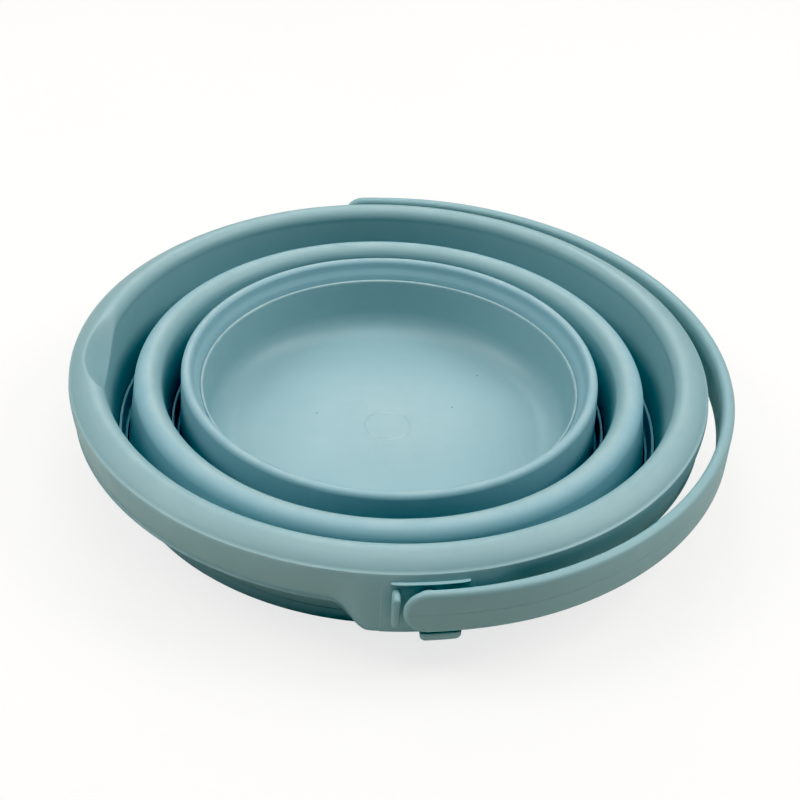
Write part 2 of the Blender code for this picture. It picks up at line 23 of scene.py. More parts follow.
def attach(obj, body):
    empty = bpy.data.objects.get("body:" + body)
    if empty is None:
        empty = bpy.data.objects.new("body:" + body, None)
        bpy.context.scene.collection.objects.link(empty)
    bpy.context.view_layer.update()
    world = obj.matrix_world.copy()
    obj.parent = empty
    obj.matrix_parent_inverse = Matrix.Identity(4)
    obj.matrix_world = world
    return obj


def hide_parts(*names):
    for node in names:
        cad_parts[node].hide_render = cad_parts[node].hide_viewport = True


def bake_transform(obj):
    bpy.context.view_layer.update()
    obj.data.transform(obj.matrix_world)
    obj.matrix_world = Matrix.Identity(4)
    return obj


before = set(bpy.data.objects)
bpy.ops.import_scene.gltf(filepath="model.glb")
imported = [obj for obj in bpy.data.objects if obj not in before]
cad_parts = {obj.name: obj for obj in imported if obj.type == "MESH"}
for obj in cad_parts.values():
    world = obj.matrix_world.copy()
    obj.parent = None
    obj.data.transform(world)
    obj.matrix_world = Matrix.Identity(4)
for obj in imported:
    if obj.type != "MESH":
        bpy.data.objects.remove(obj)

LOG = logging.getLogger("tub")
MERGE_DISTANCE = 2e-6
PEN_SIZE = 1e-4
ARC_STEP = math.radians(11)
SMOOTH_ANGLE = math.radians(42)
NEAR = 1e-5
TINY = 1e-12
MIX_COLOURS, MIX_RESULT = (6, 7), 2

Point = tuple[float, float]
Place = tuple[float, float, float]
Colour = tuple[float, float, float, float]
Piece = bpy.types.Object
Socket = bpy.types.NodeSocket
Tree = bpy.types.NodeTree


# Outlines

def arc(centre: Point, radius: float, start: float, end: float, steps: int) -> list[Point]:
    """Points along an arc.

    Args:
        centre: Centre of the arc.
        radius: Its radius.
        start: First angle in degrees from +r.
        end: Last angle in degrees.
        steps: Number of steps between them.

    Returns:
        The points, one more than the steps.
    """
    turns = [math.radians(start + (end - start) * i / steps) for i in range(steps + 1)]
    return [(centre[0] + radius * math.cos(t), centre[1] + radius * math.sin(t)) for t in turns]


def smooth(value: float) -> float:
    """Runs from 0 to 1 with no kink at either end."""
    value = min(max(value, 0.0), 1.0)
    return value * value * (3 - 2 * value)


def rounded(corners: Sequence[Place], closed: bool = True, count: int = 0) -> list[Point]:
    """Rounds the corners of an outline.

    Args:
        corners: Each corner's two coordinates, and the radius that rounds it.
        closed: Whether the last corner joins the first.
        count: Steps of each rounding, or zero for as many as its angle needs.

    Returns:
        The outline's points.
    """
    points: list[Point] = []
    last = len(corners) - 1
    for i, (r, z, radius) in enumerate(corners):
        here = Vector((r, z))
        if radius == 0 or (not closed and i in (0, last)):
            points.append((r, z))
            continue
        before = (Vector(corners[i - 1][:2]) - here).normalized()
        after = (Vector(corners[(i + 1) % len(corners)][:2]) - here).normalized()
        half = before.angle(after) / 2
        centre = here + (before + after).normalized() * radius / math.sin(half)
        first = here + before * radius / math.tan(half) - centre
        sweep = math.pi - 2 * half
        if before.x * after.y - before.y * after.x > 0:
            sweep = -sweep
        steps = count or max(2, math.ceil(abs(sweep) / ARC_STEP))
        start = math.atan2(first.y, first.x)
        for step in range(steps + 1):
            turn = start + sweep * step / steps
            points.append((centre.x + radius * math.cos(turn), centre.y + radius * math.sin(turn)))
    return points


def spaced(points: Sequence[Point], spacing: float) -> list[Point]:
    """Adds points to a line until no two neighbours are far apart.

    Args:
        points: The line.
        spacing: The largest distance that may stay.

    Returns:
        The finer line.
    """
    line: list[Point] = [points[0]]
    for (r0, z0), (r1, z1) in pairwise(points):
        count = max(1, math.ceil(math.hypot(r1 - r0, z1 - z0) / spacing))
        line += [(r0 + (r1 - r0) * i / count, z0 + (z1 - z0) * i / count)
                 for i in range(1, count + 1)]
    return line


def evenly(points: Sequence[Point], count: int) -> list[Point]:
    """Lays points along a line at even distances.

    Args:
        points: The line.
        count: How many points, with both ends.

    Returns:
        The even points.
    """
    runs = [0.0]
    for (r0, z0), (r1, z1) in pairwise(points):
        runs.append(runs[-1] + math.hypot(r1 - r0, z1 - z0))
    line: list[Point] = []
    part = 0
    for i in range(count):
        run = runs[-1] * i / (count - 1)
        while part < len(points) - 2 and runs[part + 1] < run:
            part += 1
        share = (run - runs[part]) / max(runs[part + 1] - runs[part], TINY)
        (r0, z0), (r1, z1) = points[part], points[part + 1]
        line.append((r0 + (r1 - r0) * share, z0 + (z1 - z0) * share))
    return line


# Tools of the modelling bench

def select_only(item: Piece) -> None:
    """Leaves one object selected and active.

    Args:
        item: The object.
    """
    bpy.ops.object.select_all(action="DESELECT")
    item.select_set(True)
    bpy.context.view_layer.objects.active = item


def made(name: str, way: Callable[..., object], **settings: object) -> Piece:
    """Makes an object with nothing else selected, and names it.

    Args:
        name: Its name.
        way: The operator that makes it.
        settings: The operator's settings.

    Returns:
        The object.
    """
    bpy.ops.object.select_all(action="DESELECT")
    way(**settings)
    item = bpy.context.object
    item.name = item.data.name = name
    return item


@contextmanager
def editing(item: Piece) -> Iterator[None]:
    """Opens a piece for editing with all of it selected, and closes it again.

    Args:
        item: The piece.
    """
    select_only(item)
    bpy.ops.object.mode_set(mode="EDIT")
    bpy.ops.mesh.select_mode(type="VERT")
    bpy.ops.mesh.select_all(action="SELECT")
    yield
    bpy.ops.object.mode_set(mode="OBJECT")


def pick(item: Piece, kind: str, test: Callable[..., bool]) -> None:
    """Selects the points or edges of the piece being edited that pass a test.

    Args:
        item: The piece.
        kind: "VERT" or "EDGE".
        test: Says whether one of them is wanted.
    """
    bpy.ops.mesh.select_mode(type=kind)
    bpy.ops.mesh.select_all(action="DESELECT")
    builder = bmesh.from_edit_mesh(item.data)
    for part in builder.verts if kind == "VERT" else builder.edges:
        if test(part):
            part.select_set(True)
    bmesh.update_edit_mesh(item.data)


def extrude(way: Sequence[float]) -> None:
    """Extrudes what is selected."""
    bpy.ops.mesh.extrude_region_move(TRANSFORM_OT_translate={"value": way})


def fill(way: Place) -> None:
    """Fills the closed line being edited, and extrudes the new face.

    Args:
        way: How far the new face moves.
    """
    bpy.ops.mesh.remove_doubles(threshold=MERGE_DISTANCE)
    bpy.ops.mesh.edge_face_add()
    extrude(way)


def slice_at(place: Place, normal: Place) -> None:
    """Cuts the whole piece being edited along a plane."""
    bpy.ops.mesh.select_all(action="SELECT")
    bpy.ops.mesh.bisect(plane_co=place, plane_no=normal)


def face_out() -> None:
    """Turns all faces of the piece being edited outwards."""
    bpy.ops.mesh.select_all(action="SELECT")
    bpy.ops.mesh.normals_make_consistent(inside=False)


def close_up() -> None:
    """Joins double points of the piece being edited, and turns its faces outwards."""
    bpy.ops.mesh.select_all(action="SELECT")
    bpy.ops.mesh.remove_doubles(threshold=MERGE_DISTANCE)
    face_out()


def draw(name: str, places: Sequence[Place], closed: bool = True) -> Piece:
    """Draws a line through places in space, one stroke after another.

    Args:
        name: Name of the new piece.
        places: The places, in order.
        closed: Whether the line comes back to its start.

    Returns:
        The piece, which is only a line so far.
    """
    item = made(name, bpy.ops.mesh.primitive_plane_add, size=PEN_SIZE)
    line = [*places, places[0]] if closed else places
    with editing(item):
        bpy.ops.mesh.merge(type="CENTER")
        bpy.ops.transform.translate(value=line[0])
        for before, after in pairwise(line):
            extrude(tuple(b - a for a, b in zip(before, after)))
    return item


def spin_round(item: Piece, stretches: Sequence[tuple[int, float]],
               centre: Place = (0, 0, 0), axis: Place = (0, 0, 1)) -> Piece:
    """Turns a drawn line round an axis, in stretches of finer and coarser steps.

    Args:
        item: The line.
        stretches: Steps and angle of each stretch. The angles add up to a full turn.
        centre: A point of the axis.
        axis: Its direction.

    Returns:
        The same piece.
    """
    with editing(item):
        for steps, angle in stretches:
            bpy.ops.mesh.spin(steps=steps, angle=angle, center=centre, axis=axis)
        close_up()
    return item


def press_out(name: str, outline: Sequence[Point], start: float, end: float,
              edges: float) -> Piece:
    """Fills an outline of (x, z) points, carries it along -Y and rounds its outer edges.

    Args:
        name: Name of the new piece.
        outline: The outline's points.
        start: Distance from the middle plane at which the piece starts.
        end: Distance at which it ends.
        edges: Width of the rounding on its outer edges.

    Returns:
        The new piece.
    """
    item = draw(name, [(x, -start, z) for x, z in outline])
    with editing(item):
        fill((0, start - end, 0))
        bpy.ops.mesh.bevel(offset=edges, segments=4)
        face_out()
    return item


def copy_across(item: Piece, name: str) -> Piece:
    """Copies a piece to the far ear, as its mirror image across the plane y = 0.

    Args:
        item: The piece on the near ear.
        name: Name of the copy.

    Returns:
        The copy.
    """
    select_only(item)
    bpy.ops.object.duplicate(linked=False)
    twin = bpy.context.object
    twin.name = twin.data.name = name
    with editing(twin):
        bpy.ops.transform.mirror(constraint_axis=(False, True, False), center_override=(0, 0, 0))
        face_out()
    return twin


# Sizes that neighbouring rings share

@dataclass(frozen=True)
class RingPlan:
    """Sizes that more than one ring needs, and the places that follow from them."""

    rim_radius: float = 0.160
    ridge_height: float = 0.052
    lip_rise: float = 0.0059
    lip_roll: float = 0.006
    lip_top_width: float = 0.0107
    lip_edge_angle: float = 60.0
    rim_plastic: float = 0.0022
    band_plastic: float = 0.0024
    wall_draft: float = 0.13
    skin: float = 0.002
    joint_gap: float = 0.0003
    sleeve_upstand: float = 0.0015
    sleeve_edge: float = 0.0177
    valley: float = 0.0097
    valley_width: float = 0.0011
    fold_foot_height: float = 0.0061
    outer_lean: float = 0.0051
    inner_lean: float = 0.0023
    middle_roll: float = 0.007
    middle_drop: float = 0.004
    inner_roll: float = 0.0028
    inner_drop: float = 0.0031
    middle_bend: float = 0.048
    inner_bend: float = 0.0489
    ring_steps: int = 224

    @property
    def lip_top(self) -> float:
        """Height of the lip's highest line."""
        return self.ridge_height + self.lip_rise

    @property
    def lip_centre(self) -> Point:
        """Centre of the lip's roll."""
        return (self.rim_radius - self.lip_top_width, self.lip_top - self.lip_roll)

    @property
    def band_foot(self) -> float:
        """Height at which the rigid bands end."""
        return self.valley + self.joint_gap

    def rim_wall(self, height: float) -> float:
        """Radius of the rim's inner face at a height."""
        r, z = self.lip_centre
        return r - self.lip_roll - self.wall_draft * (z - height)

    def middle_wall(self, height: float) -> float:
        """Radius of the middle band's inner face at a height."""
        r, z = self.middle_crest
        return r - self.middle_roll - self.wall_draft * (z - height)

    def fold_foot(self, wall: Callable[[float], float]) -> float:
        """Outer radius of a fold's skin where it leaves the bead on a band."""
        return (wall(self.valley) - self.joint_gap - self.sleeve_upstand
                - self.valley_width - self.joint_gap)

    @property
    def middle_crest(self) -> Point:
        """Centre of the middle band's crest."""
        r = self.fold_foot(self.rim_wall) - self.outer_lean - self.middle_roll
        return (r, self.ridge_height - self.middle_drop - self.middle_roll)

    @property
    def inner_crest(self) -> Point:
        """Centre of the crest round the base."""
        r = self.fold_foot(self.middle_wall) - self.inner_lean - self.inner_roll
        return (r, self.ridge_height - self.inner_drop - self.inner_roll)


# Finishes

class Slot(Enum):
    """Material slots of the record."""

    BOWL = "bowl_plastic"
    BAND = "band_plastic"
    RIM = "rim_plastic"
    HANDLE = "handle_plastic"
    SLEEVE = "sleeve_rubber"


class NodeBench:
    """Places and joins nodes in one node tree."""

    def __init__(self, tree: Tree) -> None:
        """Starts with an empty tree."""
        self.tree = tree
        tree.nodes.clear()

    def add(self, kind: str, inputs: dict[str | int, object] | None = None,
            **settings: object) -> bpy.types.Node:
        """Adds a node.

        Args:
            kind: The node's type.
            inputs: Values of its sockets, or sockets of other nodes that feed them.
            settings: Its own settings.

        Returns:
            The node.
        """
        node = self.tree.nodes.new(kind)
        for key, value in settings.items():
            setattr(node, key, value)
        for key, value in (inputs or {}).items():
            if isinstance(value, Socket):
                self.tree.links.new(value, node.inputs[key])
            else:
                node.inputs[key].default_value = value
        return node

    def math(self, operation: str, *values: object, **settings: object) -> Socket:
        """Adds a sum of one or two values, and returns its result."""
        values = dict(enumerate(values))
        return self.add("ShaderNodeMath", values, operation=operation, **settings).outputs[0]

    def times(self, first: object, second: object) -> Socket:
        """Multiplies two values."""
        return self.math("MULTIPLY", first, second)

    def share(self, first: object, amount: float, second: object) -> Socket:
        """Adds an amount of one value and the rest of another."""
        return self.math("ADD", self.times(first, amount), self.times(second, 1 - amount))

    def length(self, x: object, y: object) -> Socket:
        """Adds the length of the vector that two values make, and returns it."""
        pair = self.add("ShaderNodeCombineXYZ", {0: x, 1: y}).outputs[0]
        return self.add("ShaderNodeVectorMath", {0: pair}, operation="LENGTH").outputs["Value"]

    def ramp(self, value: Socket, *limits: float) -> Socket:
        """Carries a value smoothly from one range to another, or to 0 and 1 if none is given."""
        inputs = dict(enumerate((value, *limits)))
        return self.add("ShaderNodeMapRange", inputs, interpolation_type="SMOOTHSTEP").outputs[0]

    def noise(self, place: Socket, *settings: object) -> Socket:
        """Adds a noise pattern of a scale, detail and roughness, and returns its value."""
        inputs = dict(zip(("Vector", "Scale", "Detail", "Roughness"), (place, *settings)))
        return self.add("ShaderNodeTexNoise", inputs).outputs[0]

    def tint(self, share: object, low: object, high: object) -> Socket:
        """Adds a mix of two colours, and returns the mixed colour."""
        sockets = {0: share, MIX_COLOURS[0]: low, MIX_COLOURS[1]: high}
        return self.add("ShaderNodeMix", sockets, data_type="RGBA").outputs[MIX_RESULT]

    def use(self, group: Tree, place: Socket, **numbers: float) -> Socket:
        """Places a shared group with its own numbers and returns its result."""
        node = self.add("ShaderNodeGroup", {"Place": place, **numbers}, node_tree=group)
        return node.outputs[0]


class GroupBench(NodeBench):
    """The bench of a shared group, which reads a place and some numbers and gives one number."""

    def __init__(self, name: str, result: str, **numbers: float) -> None:
        """Starts a group.

        Args:
            name: The group's name.
            result: Name of what it gives.
            numbers: The numbers that it reads, with their usual values.
        """
        super().__init__(bpy.data.node_groups.new(name, "ShaderNodeTree"))
        face = self.tree.interface
        face.new_socket("Place", in_out="INPUT", socket_type="NodeSocketVector")
        for key, value in numbers.items():
            number = face.new_socket(key, in_out="INPUT", socket_type="NodeSocketFloat")
            number.default_value = value
        face.new_socket(result, in_out="OUTPUT", socket_type="NodeSocketFloat")
        self.read = self.add("NodeGroupInput").outputs

    def give(self, value: Socket) -> Tree:
        """Sends a value out of the group, and returns the group."""
        self.add("NodeGroupOutput", {0: value})
        return self.tree


class Effects:
    """Node groups that the finishes share: grain, flow marks, rings of painted light, scuffs,
    specks.
    """

    def __init__(self) -> None:
        """Builds each group once."""
        self.grain = self._grain()
        self.flow = self._flow()
        self.ring = self._ring()
        self.scuffs = self._scuffs()
        self.specks = self._specks()

    @staticmethod
    def _grain() -> Tree:
        """Fine texture of a moulded face, over a softer unevenness.

        Returns:
            The group, which gives a height.
        """
        bench = GroupBench("moulded_grain", "Height", Fine=1500.0, Soft=260.0)
        fine = bench.noise(bench.read["Place"], bench.read["Fine"], 3.0, 0.6)
        soft = bench.noise(bench.read["Place"], bench.read["Soft"], 1.0)
        return bench.give(bench.share(fine, 0.45, soft))

    @staticmethod
    def _flow() -> Tree:
        """Broad, soft differences of colour left by the flow of the melt.

        Returns:
            The group, which gives a mask.
        """
        bench = GroupBench("flow_marks", "Mask", Scale=11.0)
        place, scale = bench.read["Place"], bench.read["Scale"]
        broad = bench.noise(place, scale, 2.0, 0.45)
        close = bench.noise(place, bench.times(scale, 6.0))
        return bench.give(bench.ramp(bench.share(broad, 0.7, close), 0.32, 0.68))

    @staticmethod
    def _ring() -> Tree:
        """A soft band round the axis of the rings, at one radius and height, where light is
        painted on.

        Returns:
            The group, which gives a mask.
        """
        bench = GroupBench("ring_band", "Mask", Radius=0.1, Height=0.05, Width=0.004)
        place = bench.read["Place"]
        x, y, z = bench.add("ShaderNodeSeparateXYZ", {0: place}).outputs
        aside = bench.math("SUBTRACT", bench.length(x, y), bench.read["Radius"])
        above = bench.math("SUBTRACT", z, bench.read["Height"])
        away = bench.math("DIVIDE", bench.length(aside, above), bench.read["Width"])
        patch = bench.ramp(bench.noise(place, 55.0, 3.0, 0.6), 0.3, 0.7, 0.35, 1.0)
        return bench.give(bench.times(bench.ramp(away, 0.0, 1.0, 1.0, 0.0), patch))

    @staticmethod
    def _scuffs() -> Tree:
        """Thin short rubs in two directions, gathered in patches.

        Returns:
            The group, which gives a mask.
        """
        bench = GroupBench("fine_scuffs", "Mask", Scale=220.0)
        place = bench.read["Place"]
        lines = []
        for turn, squeeze in ((0.5, 0.06), (2.1, 0.05)):
            along = bench.add("ShaderNodeMapping", {
                "Vector": place, "Rotation": (0.0, 0.0, turn), "Scale": (1.0, squeeze, 1.0)})
            strokes = bench.noise(along.outputs[0], bench.read["Scale"], 2.0, 0.6)
            lines.append(bench.ramp(strokes, 0.66, 0.72))
        patch = bench.ramp(bench.noise(place, 24.0), 0.45, 0.65)
        return bench.give(bench.times(bench.math("MAXIMUM", *lines), patch))

    @staticmethod
    def _specks() -> Tree:
        """A few tiny dark specks, far apart.

        Returns:
            The group, which gives a mask.
        """
        bench = GroupBench("specks", "Mask", Scale=55.0, Size=0.023)
        cells = bench.add("ShaderNodeTexVoronoi", {
            "Vector": bench.read["Place"], "Scale": bench.read["Scale"]},
                          voronoi_dimensions="2D").outputs
        chance = bench.add("ShaderNodeSeparateColor", {0: cells["Color"]}).outputs[0]
        near = bench.math("LESS_THAN", cells["Distance"], bench.read["Size"])
        return bench.give(bench.times(near, bench.math("GREATER_THAN", chance, 0.965)))


@dataclass(frozen=True)
class PaintedLightRing:
    """A ring on a turned piece, painted lighter and made smoother where light falls: painted
    highlights and a painted pool of light.
    """

    radius: float
    height: float
    width: float
    amount: float = 0.35


@dataclass(frozen=True)
class MouldedFinish:
    """The tub's pale blue-green plastic, as one moulding shows it."""

    slot: Slot
    colour: Colour = (0.425, 0.61, 0.64, 1.0)
    flow_colour: Colour = (0.41, 0.595, 0.62, 1.0)
    # Lighter colour shared by scuffs, which are wear, and by the rings of painted highlight and
    # painted light.
    wear_and_light_colour: Colour = (0.56, 0.71, 0.725, 1.0)
    speck_colour: Colour = (0.05, 0.09, 0.10, 1.0)
    smooth_roughness: float = 0.36
    dull_roughness: float = 0.50
    grain_depth: float = 0.00003
    scuffed: float = 0.12
    sheen: float = 0.0
    specks: bool = False
    speck_strength: float = 0.7
    wear_and_light_gloss: float = 0.1
    # Rings painted lighter: painted highlights and a painted pool of light.
    rings: tuple[PaintedLightRing, ...] = ()

    def make(self, name: str, effects: Effects) -> bpy.types.Material:
        """Builds the finish as a material.

        Args:
            name: Name of the material.
            effects: The shared node groups.

        Returns:
            The material.
        """
        material = bpy.data.materials.new(name)
        material.use_nodes = True
        bench = NodeBench(material.node_tree)
        place = bench.add("ShaderNodeTexCoord").outputs["Object"]
        flow = bench.use(effects.flow, place)
        grain = bench.use(effects.grain, place)
        colour = bench.tint(flow, self.colour, self.flow_colour)
        wear_and_light = bench.times(bench.use(effects.scuffs, place), self.scuffed)
        # Painted light: each ring lightens the colour where a highlight or a pool of light falls.
        for ring in self.rings:
            band = bench.use(effects.ring, place, Radius=ring.radius, Height=ring.height,
                             Width=ring.width)
            wear_and_light = bench.math("MAXIMUM", wear_and_light, bench.times(band, ring.amount))
        # Scuffs, which are wear, and painted light both mix in the lighter colour.
        colour = bench.tint(wear_and_light, colour, self.wear_and_light_colour)
        if self.specks:
            specks = bench.times(bench.use(effects.specks, place), self.speck_strength)
            colour = bench.tint(specks, colour, self.speck_colour)
        roughness = bench.ramp(bench.share(flow, 0.4, grain), 0.2, 0.8, self.smooth_roughness,
                               self.dull_roughness)
        roughness = bench.math("SUBTRACT", roughness, bench.times(wear_and_light, self.wear_and_light_gloss),
                               use_clamp=True)
        bump = bench.add("ShaderNodeBump", {"Distance": self.grain_depth, "Height": grain})
        shader = bench.add("ShaderNodeBsdfPrincipled", {
            "Base Color": colour, "Roughness": roughness, "Normal": bump.outputs[0],
            "IOR": 1.5, "Sheen Weight": self.sheen})
        bench.add("ShaderNodeOutputMaterial", {"Surface": shader.outputs[0]})
        return material


@dataclass(frozen=True)
class SoftFinish(MouldedFinish):
    """The same colour in the soft plastic of the sleeve: duller, bluer, with a faint bloom."""

    slot: Slot = Slot.SLEEVE
    colour: Colour = (0.41, 0.615, 0.675, 1.0)
    flow_colour: Colour = (0.395, 0.60, 0.66, 1.0)
    smooth_roughness: float = 0.44
    dull_roughness: float = 0.58
    sheen: float = 0.15


# Sub-assemblies

@dataclass
class SubAssembly:
    """Pieces that belong to one moving body, with the sizes that only they need."""

    plan: RingPlan
    effects: Effects
    pieces: list[Piece] = field(default_factory=list)
    bead_low: float = 0.0024
    bead_bottom: float = 0.0008
    bead_round: float = 0.0011
    bead_slants: Point = (0.0016, 0.0004)
    upstand_round: float = 0.0006
    edge_round: float = 0.0003
    spacing: float = 0.003
    fold_spacing: float = 0.0022

    def fit(self, item: Piece, finish: MouldedFinish, body: str, node: str | None = None,
            bend: tuple[str, float, float] | None = None) -> None:
        """Shades and dresses a finished piece, and lets it move with its body, unless it is a
        folding skin.

        Args:
            item: The piece.
            finish: Its finish.
            body: The body that carries it, or the body of a folding skin's crest, which is only
                logged.
            node: The solid that it stands for, if there is one.
            bend: For a folding skin, the body that its foot follows, and the heights at which the
                bend
            starts and ends. These are not used: the skin is only fixed in place, neither carried
                nor bent.
        """
        select_only(item)
        bpy.ops.object.shade_smooth_by_angle(angle=SMOOTH_ANGLE)
        item.data.materials.clear()
        item.data.materials.append(finish.make(f"{item.name}_finish", self.effects))
        if bend is None:
            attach(item, body)
        else:
            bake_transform(item)
        if node is not None:
            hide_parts(node)
        self.pieces.append(item)
        LOG.info("%s goes with %s", item.name, body)

    def turn_fold(self, name: str, wall: Callable[[float], float], centre: Point,
                  roll: float) -> Piece:
        """Turns a folding skin: from the bead up, and over the outer half of a crest.

        Args:
            name: Name of the piece.
            wall: Inner face of the band whose bead holds the skin's foot.
            centre: Centre of the crest's roll.
            roll: Radius of the roll.

        Returns:
            The skin.
        """
        plan = self.plan
        foot = plan.fold_foot(wall)
        outside = [(foot, plan.fold_foot_height)] + arc(centre, roll, 0, 90, 14)
        inside = arc(centre, roll - plan.skin, 90, 0, 10)
        inside.append((foot - plan.skin, plan.fold_foot_height))
        return self.turn(name, spaced(outside + inside, self.fold_spacing))

    def turn(self, name: str, outline: Sequence[Point], closed: bool = True) -> Piece:
        """Draws an outline beside the axis of the rings, and turns it round that axis."""
        item = draw(name, [(r, 0, z) for r, z in outline], closed)
        return spin_round(item, [(self.plan.ring_steps, math.tau)])

    def add_bead(self, node: str, body: str, wall: Callable[[float], float],
                 plastic: float) -> None:
        """Turns and fits the soft bead that grips the foot of a band, painted lighter along its
        top as a highlight.

        Args:
            node: The solid that it stands for.
            body: The body that carries it.
            wall: Inner face of the band.
            plastic: Thickness of the band.
        """
        plan, low, bottom, turn = self.plan, self.bead_low, self.bead_bottom, self.bead_round
        gap, valley, edge = plan.joint_gap, plan.valley, plan.sleeve_edge
        upstand = gap + plan.sleeve_upstand
        outside = wall(valley) + plastic
        foot = plan.fold_foot(wall)
        seat = plan.fold_foot_height - gap
        drawn = outside - plan.wall_draft * (valley - low)
        corners = [(outside, valley, self.edge_round), (drawn, low, turn),
                   (drawn - self.bead_slants[0], bottom, turn),
                   (foot - self.bead_slants[1], bottom, turn),
                   (foot - plan.skin, low, turn), (foot - plan.skin, seat, 0),
                   (foot, seat, 0), (foot, valley, 0),
                   (wall(valley) - upstand, valley, self.upstand_round),
                   (wall(edge) - upstand, edge, self.upstand_round),
                   (wall(edge) - gap, edge, self.edge_round), (wall(valley) - gap, valley, 0)]
        middle = wall(edge) - gap - plan.sleeve_upstand / 2
        # Painted highlight: the upstand's top is painted lighter to look lit.
        finish = SoftFinish(rings=(PaintedLightRing(middle, edge, width=0.0022, amount=0.4),))
        bead = self.turn(f"{node}_ring", spaced(rounded(corners), self.spacing))
        self.fit(bead, finish, body, node)


@dataclass
class Base(SubAssembly):
    """The bowl with its soft collar, and the skin that folds down from the collar's crest."""

    collar_flare: float = 0.0039
    collar_depth: float = 0.0107
    collar_wrap: float = 0.014
    collar_shoulder: tuple[Place, Place] = ((0.00076, 0.0019, 0.005), (0.0027, 0.0046, 0.005))
    collar_spacing: float = 0.002
    ledge_step: float = 0.0013
    ledge_lap: float = 0.00005
    ledge_bead: float = 0.0008
    plastic: float = 0.0024
    fillet: float = 0.014
    floor: float = 0.0082
    foot_width: float = 0.003
    gate_radius: float = 0.0119
    gate_line: float = 0.0005
    gate_depth: float = 0.00024
    gate_groove: tuple[Point, ...] = ((-2, 0), (-1, 0), (-0.5, 0.7), (0, 1), (0.5, 0.7), (1, 0),
                                      (2, 0))
    bowl_spacing: float = 0.006
    crest_round: float = 0.0009
    seat_round: float = 0.0003
    foot_round: float = 0.0008
    under_round: float = 0.0006

    @property
    def ledge(self) -> float:
        """Height of the bright ledge between collar and bowl."""
        return self.plan.ridge_height - self.plan.inner_drop - self.collar_depth

    def bowl_wall(self, height: float) -> float:
        """Radius of the bowl's inner face at a height."""
        r = self.plan.inner_crest[0] - self.plan.inner_roll - self.collar_flare
        return r - self.ledge_step - self.plan.wall_draft * (self.ledge - height)

    def build(self) -> None:
        """Models and dresses the three pieces of the base."""
        plan = self.plan
        # Painted light on the bowl: a highlight along the ledge's edge, a highlight on the gate
        # ring, and a painted pool of light over the middle of the floor.
        edge = PaintedLightRing(self.bowl_wall(self.ledge) + self.ledge_step / 2,
                          self.ledge + self.ledge_bead, width=0.0022, amount=1.0)
        gate = PaintedLightRing(self.gate_radius, self.floor, width=0.0012, amount=1.0)
        middle = PaintedLightRing(0.0, self.floor, width=0.068, amount=0.4)
        bowl = MouldedFinish(Slot.BOWL, (0.43, 0.605, 0.64, 1.0), (0.415, 0.59, 0.625, 1.0),
                             specks=True, rings=(edge, gate, middle))
        self.fit(self.bowl(), bowl, "base", "base_bowl")
        # Painted highlight along the lit top of the crest round the base.
        crest = PaintedLightRing(plan.inner_crest[0], plan.ridge_height - plan.inner_drop,
                           width=0.003, amount=0.65)
        sleeve = SoftFinish(rings=(crest,))
        self.fit(self.collar(), sleeve, "base", "base_collar")
        fold = self.turn_fold("inner_fold_skin", plan.middle_wall, plan.inner_crest,
                              plan.inner_roll)
        bend = ("middle_stage", plan.inner_bend, plan.fold_foot_height)
        self.fit(fold, sleeve, "base", "inner_fold", bend)

    def bowl(self) -> Piece:
        """Turns the bowl: floor with its gate ring, wall, rounded edge and foot ring.

        Returns:
            The bowl.
        """
        floor, gate, plastic, fillet = self.floor, self.gate_radius, self.plastic, self.fillet
        seat, top = self.ledge + self.ledge_lap, self.ledge + self.ledge_bead
        slope = math.atan(self.plan.wall_draft)
        lean = math.degrees(slope)
        tangent = floor + fillet * (1 - math.sin(slope))
        wall, edge, under = self.bowl_wall(tangent), self.bowl_wall(top), floor - plastic
        centre = (wall - fillet * math.cos(slope), floor + fillet)
        foot = centre[0] - self.foot_width
        outline = [(0, floor)]
        outline += [(gate + aside * self.gate_line, floor - self.gate_depth * share)
                    for aside, share in self.gate_groove]
        outline += spaced([outline[-1], (centre[0], floor)], self.bowl_spacing)[1:-1]
        outline += arc(centre, fillet, -90, -lean, 16)
        outline += rounded([(wall, tangent, 0), (edge, top, self.crest_round),
                            (edge + self.ledge_step, top, self.seat_round),
                            (edge + self.ledge_step, seat, 0),
                            (edge + plastic, seat, self.seat_round),
                            (wall + plastic, tangent, 0)], False)[1:-1]
        outline += arc(centre, fillet + plastic, -lean, -90, 16)
        outline += rounded([(centre[0], under, 0), (centre[0], 0, self.foot_round),
                            (foot, 0, self.foot_round), (foot, under, self.under_round),
                            (gate, under, self.under_round), (gate, 0, self.foot_round),
                            (0, 0, 0)], False)[1:]
        return self.turn("bowl", spaced(outline, self.bowl_spacing), closed=False)

    def collar(self) -> Piece:
        """Turns the collar: half a crest, a groove, a soft shoulder, and the wrapped bowl.

        Returns:
            The collar.
        """
        plan = self.plan
        centre, roll = plan.inner_crest, plan.inner_roll
        face, edge = centre[0] - roll, self.ledge
        outside = self.bowl_wall(edge) + self.plastic + plan.joint_gap
        wrap = edge - self.collar_wrap
        wrapped = self.bowl_wall(wrap) + self.plastic + plan.joint_gap
        top = arc(centre, roll, 90, 162, 12)
        corners = [(*top[-1], 0)]
        corners += [(face - r, centre[1] - z, turn) for r, z, turn in self.collar_shoulder]
        corners += [(face - self.collar_flare, edge, 0.0002), (outside, edge, 0),
                    (wrapped, wrap, 0.0002), (wrapped + plan.skin, wrap, 0.0008),
                    (outside + plan.skin, edge, plan.skin), (face + plan.skin, centre[1], 0)]
        outline = top[:-1] + rounded(corners, False)
        outline += arc(centre, roll - plan.skin, 180, 90, 6)[1:]
        return self.turn("collar", spaced(outline, self.collar_spacing))


